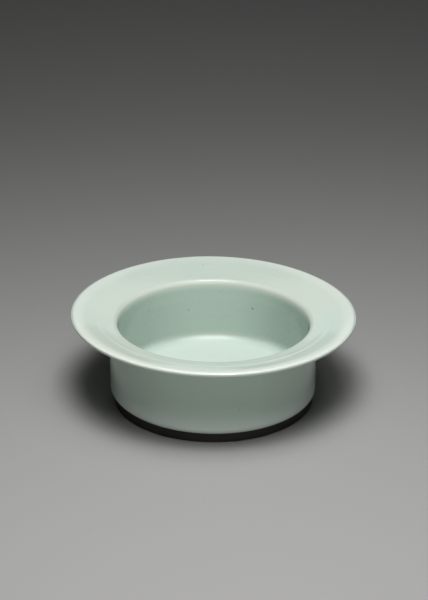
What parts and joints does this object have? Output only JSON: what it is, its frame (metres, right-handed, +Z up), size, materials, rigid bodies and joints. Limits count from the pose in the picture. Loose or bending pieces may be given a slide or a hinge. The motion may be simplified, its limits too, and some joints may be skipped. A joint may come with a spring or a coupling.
{
  "type": "brush holder pot",
  "caption": "Shallow round porcelain brush washer with a straight drum wall, a wide everted rim with a rounded lip, and a low dark foot ring, under a pale blue-green celadon glaze.",
  "frame": {"origin": "centre of the standing edge of the foot ring, in the plane that the pot rests on", "axes": "+Z up along the axis on which the pot was turned; +X and +Y are any two square directions, since the pot is round"},
  "size_m": [0.13, 0.13, 0.0433],
  "materials": {
    "clay": "unglazed matt, fine grained",
    "celadon": "smooth satin gloss, pale blue-green, whiter where it thins at the lip and the shoulder",
    "base_celadon": "smooth gloss, slightly greener",
    "foot_wash": "matt iron-brown to black wash"
  },
  "bodies": {
    "root": {"porcelain_body": "clay", "celadon_glaze": "celadon", "base_glaze": "base_celadon", "foot_dressing": "foot_wash"}
  },
  "joints": []
}
